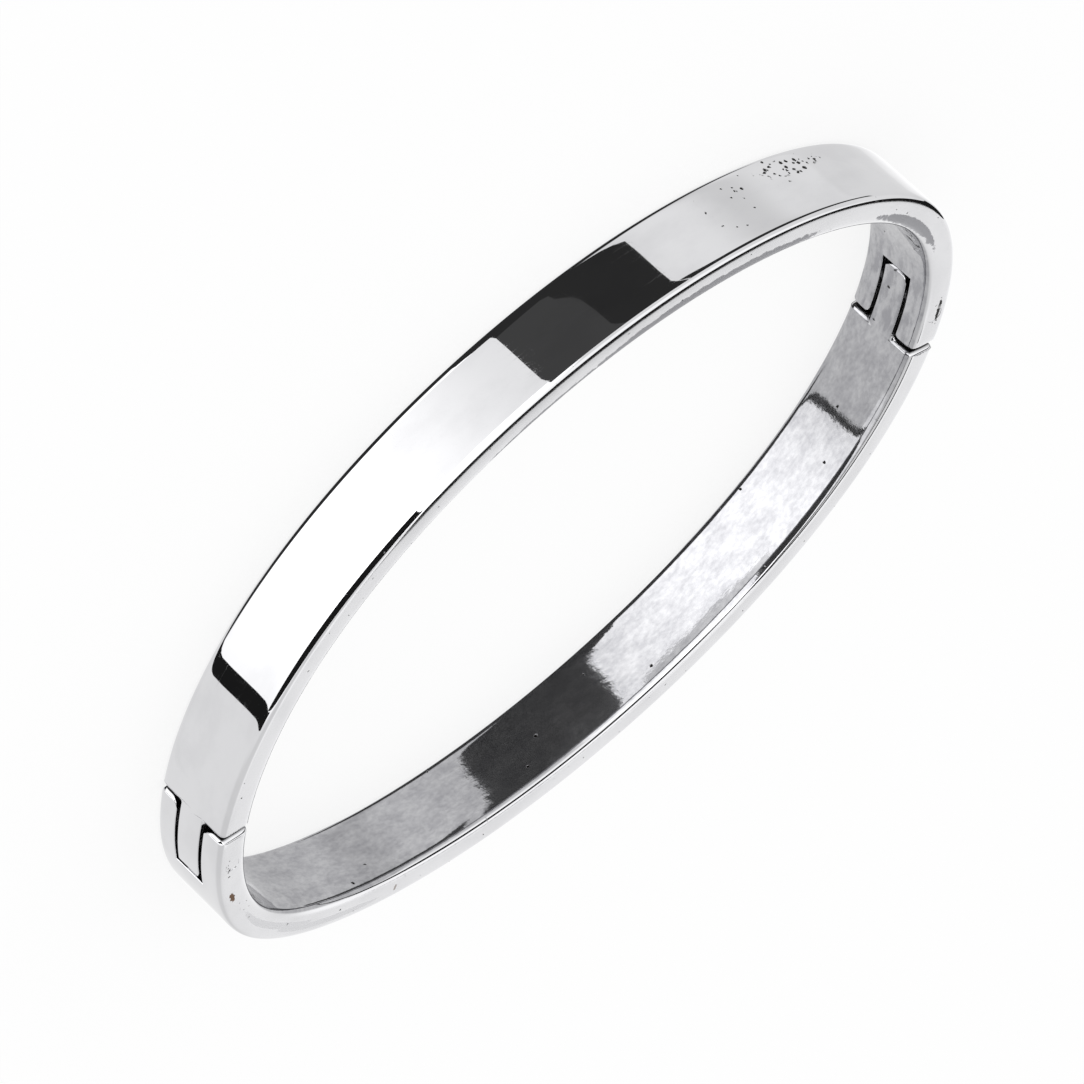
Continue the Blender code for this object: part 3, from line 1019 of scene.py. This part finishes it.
class BANGLE_OT_band_halves(bpy.types.Operator):
    """Builds the front and back halves of the band"""

    bl_idname = "bangle.band_halves"
    bl_label = "Band halves"

    def execute(self, context):
        size = sizes()
        shared_groups()
        tree, material = band_tree(), band_steel()
        clasp = box_middle("detent_ball_upper")
        pin = box_size("hinge_pin").x / 2
        ball = box_size("detent_ball_upper").z / 2
        plug = box_size("detent_plug_upper").x / 2
        pressed = [(HINGE_CENTRE, pin + size.pin_gap), (clasp, ball + size.running_gap)]
        running = [(HINGE_CENTRE, pin + size.running_gap), (clasp, plug + size.pin_gap)]
        hinge, snap = size.hinge_angle, size.clasp_angle
        front = band_half("front_band", hinge, snap + FULL_TURN, pressed, tree, material)
        back = band_half("back_band", snap, hinge, running, tree, material)
        dress(front, "front_half", "front")
        dress(back, "back_half", "back")
        return {"FINISHED"}


BROKEN_EDGE = 0.01 * MM
BALL_STEPS, CUP_STEPS = 32, 12
WIRE_RADIUS, TURNS_EACH_HALF = 0.07 * MM, 1.5


def turned_piece(name, node, body, centre, profile, material):
    piece = linked(name, turned_mesh(name, centre, profile))
    piece.data.materials.append(material)
    dress(piece, node, body)
    return piece


class BANGLE_OT_hinge_pin(bpy.types.Operator):
    """Builds the pin that the halves turn on"""

    bl_idname = "bangle.hinge_pin"
    bl_label = "Hinge pin"

    def execute(self, context):
        low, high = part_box("hinge_pin")
        radius = (high.x - low.x) / 2
        end = [(0, 0), (radius - 2 * BROKEN_EDGE, 0), (radius - BROKEN_EDGE, 0), (radius, BROKEN_EDGE)]
        profile = [(out, low.z + into) for out, into in end]
        profile += [(out, high.z - into) for out, into in reversed(end)]
        steel = flush_steel()
        pin = turned_piece("hinge_rivet", "hinge_pin", "front", HINGE_CENTRE, profile, steel)
        band_attributes(pin, sizes().hinge_angle, sizes().hinge_angle)
        return {"FINISHED"}


def ball_profile(radius, height):
    turns = [math.pi * (step / BALL_STEPS - 0.5) for step in range(BALL_STEPS + 1)]
    points = [(radius * math.cos(turn), height + radius * math.sin(turn)) for turn in turns]
    return [(0, points[0][1])] + points[1:-1] + [(0, points[-1][1])]


class BANGLE_OT_clasp_plugs(bpy.types.Operator):
    """Builds the cupped plugs that the clasp's balls snap into"""

    bl_idname = "bangle.clasp_plugs"
    bl_label = "Clasp plugs"

    def execute(self, context):
        steel = bpy.data.objects["hinge_rivet"].data.materials[0]
        for side, rim_side in (("upper", 1), ("lower", -1)):
            low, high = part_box(f"detent_plug_{side}")
            ball_low, ball_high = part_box(f"detent_ball_{side}")
            ball_height = (ball_low.z + ball_high.z) / 2
            cup = (ball_high.z - ball_low.z) / 2 + sizes().running_gap
            rim, cheek = (high.z, low.z) if rim_side > 0 else (low.z, high.z)
            radius = (high.x - low.x) / 2
            mouth = math.acos(abs(cheek - ball_height) / cup)
            profile = [(0, rim), (radius - BROKEN_EDGE, rim), (radius, rim), (radius, cheek)]
            for step in range(CUP_STEPS):
                turn = mouth * (1 - step / CUP_STEPS)
                profile.append((cup * math.sin(turn), ball_height + rim_side * cup * math.cos(turn)))
            profile.append((0, ball_height + rim_side * cup))
            centre = (low + high) / 2
            name = f"clasp_plug_{side}"
            plug = turned_piece(name, f"detent_plug_{side}", "back", centre, profile, steel)
            band_attributes(plug, sizes().clasp_angle, sizes().clasp_angle)
        return {"FINISHED"}


class BANGLE_OT_clasp_balls(bpy.types.Operator):
    """Builds the two sprung balls of the clasp"""

    bl_idname = "bangle.clasp_balls"
    bl_label = "Clasp balls"

    def execute(self, context):
        steel = turned_steel("ball_steel", colours().ball, roughness=0.05)
        for side in ("upper", "lower"):
            node = f"detent_ball_{side}"
            low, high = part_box(node)
            centre = (low + high) / 2
            profile = ball_profile((high.z - low.z) / 2, centre.z)
            turned_piece(f"clasp_ball_{side}", node, f"ball_{side}", centre, profile, steel)
        return {"FINISHED"}


class BANGLE_OT_clasp_spring(bpy.types.Operator):
    """Coils the two halves of the spring between the clasp's balls"""

    bl_idname = "bangle.clasp_spring"
    bl_label = "Clasp spring"

    def execute(self, context):
        low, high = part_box("detent_spring")
        middle = Vector((*box_middle("detent_ball_upper").xy, (low.z + high.z) / 2))
        coil = (high.y - low.y) / 2 - WIRE_RADIUS
        height = (high.z - low.z) / 2 - WIRE_RADIUS
        steel = turned_steel("spring_steel", colours().spring, roughness=0.28)
        tree = spring_tree()
        values = {"Wire Radius": WIRE_RADIUS, "Height": height, "Turns": TURNS_EACH_HALF}
        values |= {"Coil Steps": fineness().coil_steps, "Material": steel}
        # The upper half starts half a turn round, where the lower half ends.
        for side, start, radius in (("lower", middle.z - height, coil), ("upper", middle.z, -coil)):
            values |= {"Coil Radius": radius, "Centre": (middle.x, middle.y, start)}
            name = f"clasp_spring_{side}"
            half = linked(name, made_by_nodes(name, bpy.data.meshes.new(name), tree, values))
            dress(half, "detent_spring", "front")
            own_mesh(half)
        return {"FINISHED"}


# Stage

CAMERA_AZIMUTH = math.radians(-78.770)
CAMERA_ELEVATION = math.radians(23.808)
CAMERA_ROLL = math.radians(133.006)
CAMERA_DISTANCE = 0.51839
CAMERA_AIM = Vector((1.0227, -0.0615, 2.4052)) * MM
CAMERA_LENS = 263.69
CAMERA_CLIP = 0.01
FLOOR_HALF, FLOOR_GLOW = 1.5, 0.8
WHITE = (1, 1, 1, 1)
DARK_TONE = 0.027
# Ways in degrees that the dark flag ends and the softbox starts
FLAG_END, SOFTBOX_START, ALL_ROUND = -140.0, -10.0, 360.0
# Brightness of the room in reflections, and what each thing in it adds or takes away
ROOM_GLOW, SOFTBOX_GLOW, BACK_WALL_GLOW, OVERHEAD_GLOW, CORNER_SHADE = 0.88, 1.25, 0.25, 0.3, 0.12
PALE_CREASE, GREY_CREASE, FAR_CREASE = 0.05, 0.14, 0.06

# Cards that only the polished steel shows: tone, then corners in millimetres
POST_LEFT, POST_RIGHT = (47.6, -23.6), (48.8, -19.9)
FRAME_BLACK, FRAME_GREY, FLAP_GREY = 0.012, 0.86, 0.06
CARDS = {
    "frame_upright": (
        FRAME_BLACK,
        [(*POST_LEFT, -70), (*POST_RIGHT, -70), (*POST_RIGHT, 10), (*POST_LEFT, 10)],
    ),
    "frame_side": (
        FRAME_BLACK,
        [(*POST_LEFT, 1), (40, -147, -5), (40, -147, 400), (46, -42, 250), (47.5, -25, 25)],
    ),
    "frame_bar": (
        FRAME_BLACK,
        [(-62, 21, 2), (-48, 21, 8), (-38, 21, 30), (4, 21, 33), (4, 21, 170), (-62, 21, 170)],
    ),
    "frame_far_bar": (
        FRAME_BLACK,
        [(-33, 150, 130), (-12, 150, 130), (-12, 150, 900), (-33, 150, 900)],
    ),
    "frame_hood": (FRAME_BLACK, [(-33, 4, 60), (-9, 4, 60), (-9, 34, 60), (-33, 34, 60)]),
    "frame_return": (
        FRAME_GREY,
        [(*POST_RIGHT, -70), (75, 10, -70), (75, 10, -20), (*POST_RIGHT, -20)],
    ),
}
# Cards that stand on one line: foot, tone, then outline as (distance along the line, height)
FLAG_WAY = (-0.776, 0.631)
STANDING_CARDS = {
    "dark_flag": (
        (-55, -181),
        DARK_TONE,
        [(1.5, 10), (1.5, -79), (0.5, -84), (-4, -96), (-12, -112), (-24, -130), (-24, -230)]
        + [(62, -230), (78, -150), (88, -105), (92, -82), (96, -72), (96, 10)],
    ),
    "grey_flap": (
        (-54.3, -180.2),
        FLAP_GREY,
        [(1.6, 10), (1.6, -79.5), (38, -79.5), (43.3, -71)]
        + [(48, -69.2), (52.8, -67.4), (54, -65.7), (54, 10)],
    ),
}
# Paler end of the softbox beside the flag, as the outer face shows it
PALE_EDGE = [(-18.1, -70, -30), (24, -70, -30), (24, -70, -4), (-18.1, -70, -4)]
PALE_RUN, PALE_TONES = (-18 * MM, 24 * MM), (0.97, 1.4)


def emptied(owner):
    """Graph of a material or world, its own nodes cleared away."""
    owner.use_nodes = True
    owner.node_tree.nodes.clear()
    return Graph(owner.node_tree)


def studio_world():
    """White for the camera; for reflections a room with a softbox in front and a dark flag beside it."""
    world = bpy.data.worlds.new("studio")
    g = emptied(world)
    parts = g.parts(g.node("ShaderNodeTexCoord").outputs["Generated"])
    to_degrees = 180 / math.pi
    azimuth = g.times(g.math("ARCTAN2", parts["Y"], parts["X"]), to_degrees)
    elevation = g.times(g.math("ARCSINE", parts["Z"]), to_degrees)
    past_flag = g.math("FLOORED_MODULO", g.less(FLAG_END, azimuth), ALL_ROUND)
    past_softbox = g.math("FLOORED_MODULO", g.less(SOFTBOX_START, azimuth), ALL_ROUND)

    near_end, far_end = g.rise(past_softbox, 6.0, 50.0, 0.3), g.rise(past_softbox, 104.0, 68.0, 0.5)
    softbox = g.times(near_end, far_end, g.window(past_softbox, 3.0, 105.0, 2.0))
    back_wall = g.times(g.rise(azimuth, 140.0, 112.0), g.rise(azimuth, 80.0, 100.0))
    back_wall = g.times(back_wall, g.rise(elevation, 40.0, -8.0))
    overhead = g.times(g.rise(elevation, 28.0, 42.0), g.window(past_softbox, 6.0, 262.0, 8.0))
    corner = g.times(g.rise(elevation, -15.0, 5.0), g.window(past_softbox, 272.0, 352.0, 8.0))
    lit = ((softbox, SOFTBOX_GLOW), (back_wall, BACK_WALL_GLOW), (overhead, OVERHEAD_GLOW))
    glow = g.add(ROOM_GLOW, *(g.times(*pair) for pair in lit))
    glow = g.less(glow, g.times(corner, CORNER_SHADE))
    wall = g.rise(elevation, 4.0, -8.0)
    pale_crease = g.times(g.window(past_flag, 2.0, 14.0, 5.0), PALE_CREASE)
    grey_crease = g.times(wall, g.window(past_flag, 19.0, 31.0, 5.0), GREY_CREASE)
    far_crease = g.times(wall, g.window(past_flag, 52.0, 88.0, 1.5), FAR_CREASE)
    glow = g.add(glow, g.less(g.less(pale_crease, grey_crease), far_crease))

    ledge_low = g.rise(past_flag, 0.0, 9.0, -19.0, -14.0)
    ledge_high = g.rise(past_flag, 0.0, 55.0, 2.0, -9.0)
    over_low = g.rise(g.less(elevation, ledge_low), -0.7, 0.7)
    under_high = g.rise(g.less(ledge_high, elevation), -1.0, 1.0)
    ledge = g.times(over_low, under_high, g.window(past_flag, 0.0, 55.0, 0.5))
    underneath = g.times(g.rise(elevation, -38.0, -43.0), g.window(past_softbox, 0.0, 185.0, 2.0))
    dark = g.most(ledge, underneath)
    seen = g.add(g.times(glow, g.without(dark)), g.times(dark, DARK_TONE))

    path = g.node("ShaderNodeLightPath").outputs
    level = g.add(g.times(path["Is Glossy Ray"], seen), g.without(path["Is Glossy Ray"]))
    background = g.out("ShaderNodeBackground", {"Color": WHITE, "Strength": level})
    g.node("ShaderNodeOutputWorld", {"Surface": background})
    bpy.context.scene.world = world


def floor_paper():
    """Pale sheet that glows white to the camera and still takes the bangle's shadow."""
    material = bpy.data.materials.new("floor_paper")
    g = emptied(material)
    paper = g.out("ShaderNodeBsdfDiffuse", {"Color": solid(colours().floor)})
    white = g.out("ShaderNodeEmission", {"Color": WHITE, "Strength": 1.0})
    camera = g.node("ShaderNodeLightPath").outputs["Is Camera Ray"]
    mixed = g.out("ShaderNodeMixShader", {0: g.times(camera, FLOOR_GLOW), 1: paper, 2: white})
    g.node("ShaderNodeOutputMaterial", {"Surface": mixed})
    return material


def flat_sheet(name, corners, material):
    mesh = bpy.data.meshes.new(name)
    mesh.from_pydata(corners, [], [tuple(range(len(corners)))])
    mesh.materials.append(material)
    sheet = linked(name, mesh)
    return sheet


def reflection_card(name, corners, tone):
    """Card that shows only as a shape in the polished steel; returns the graph of its paper."""
    material = bpy.data.materials.new(name)
    g = emptied(material)
    glow = g.out("ShaderNodeEmission", {"Color": (tone, tone, tone, 1), "Strength": 1.0})
    g.node("ShaderNodeOutputMaterial", {"Surface": glow})
    card = flat_sheet(name, [Vector(corner) * MM for corner in corners], material)
    for ray in ("camera", "diffuse", "transmission", "shadow"):
        setattr(card, f"visible_{ray}", False)
    return g


def reflection_cards():
    """The softbox's dark frame, the dark flag with its grey flap, and the softbox's paler end."""
    for name, (tone, corners) in CARDS.items():
        reflection_card(name, corners, tone)
    for name, (foot, tone, outline) in STANDING_CARDS.items():
        corners = [(*(foot[i] + FLAG_WAY[i] * along for i in (0, 1)), height) for along, height in outline]
        reflection_card(name, corners, tone)
    g = reflection_card("softbox_edge", PALE_EDGE, 1.0)
    across = g.parts(g.node("ShaderNodeTexCoord").outputs["Object"])["X"]
    g.feed(g.tree.nodes["Emission"].inputs["Strength"], g.rise(across, *PALE_RUN, *PALE_TONES))


class BANGLE_OT_stage(bpy.types.Operator):
    """Lays the floor, lights the studio and sets up the camera"""

    bl_idname = "bangle.stage"
    bl_label = "Stage"

    def execute(self, context):
        scene = context.scene
        studio_world()
        corners = [Vector((x, y, 0)) * FLOOR_HALF for x, y in ((-1, -1), (1, -1), (1, 1), (-1, 1))]
        floor = flat_sheet("floor", corners, floor_paper())
        floor.visible_glossy = False
        reflection_cards()
        level_reach = math.cos(CAMERA_ELEVATION)
        along_x, along_y = math.cos(CAMERA_AZIMUTH), math.sin(CAMERA_AZIMUTH)
        outward = Vector((level_reach * along_x, level_reach * along_y, math.sin(CAMERA_ELEVATION)))
        camera = bpy.data.objects.new("camera", bpy.data.cameras.new("camera"))
        scene.collection.objects.link(camera)
        camera.data.lens = CAMERA_LENS
        camera.data.clip_start = CAMERA_CLIP
        level = (-outward).to_track_quat("-Z", "Y")
        roll = Quaternion((0, 0, 1), CAMERA_ROLL)
        camera.matrix_world = Matrix.LocRotScale(CAMERA_AIM + outward * CAMERA_DISTANCE, level @ roll, None)
        scene.camera = camera
        scene.view_settings.view_transform = "Standard"
        return {"FINISHED"}


class BANGLE_PT_panel(bpy.types.Panel):
    """Lists the bangle's pieces and sizes"""

    bl_idname = "BANGLE_PT_panel"
    bl_label = "Bangle"
    bl_space_type = "VIEW_3D"
    bl_region_type = "UI"
    bl_category = "Bangle"

    def draw(self, context):
        for operator in OPERATORS:
            self.layout.operator(operator.bl_idname)
        for group in (sizes(), fineness(), colours()):
            box = self.layout.box()
            for name in group.__annotations__:
                box.prop(group, name)


GROUPS_OF_VALUES = {
    "bangle_sizes": BangleSizes,
    "bangle_fineness": BangleFineness,
    "bangle_colours": BangleColours,
}
OPERATORS = (
    BANGLE_OT_band_halves,
    BANGLE_OT_hinge_pin,
    BANGLE_OT_clasp_plugs,
    BANGLE_OT_clasp_balls,
    BANGLE_OT_clasp_spring,
    BANGLE_OT_stage,
)


def register():
    for cls in (*GROUPS_OF_VALUES.values(), *OPERATORS, BANGLE_PT_panel):
        bpy.utils.register_class(cls)
    for name, cls in GROUPS_OF_VALUES.items():
        setattr(bpy.types.Scene, name, PointerProperty(type=cls))


def unregister():
    for name in GROUPS_OF_VALUES:
        delattr(bpy.types.Scene, name)
    for cls in reversed((*GROUPS_OF_VALUES.values(), *OPERATORS, BANGLE_PT_panel)):
        bpy.utils.unregister_class(cls)


def main():
    kept = set(frame["nodes"].values()) | set(frame["bodies"].values())
    for obj in [obj for obj in bpy.data.objects if obj not in kept]:
        bpy.data.objects.remove(obj)
    register()
    bpy.ops.bangle.band_halves()
    bpy.ops.bangle.hinge_pin()
    bpy.ops.bangle.clasp_plugs()
    bpy.ops.bangle.clasp_balls()
    bpy.ops.bangle.clasp_spring()
    bpy.ops.bangle.stage()


if __name__ == "__main__":
    main()
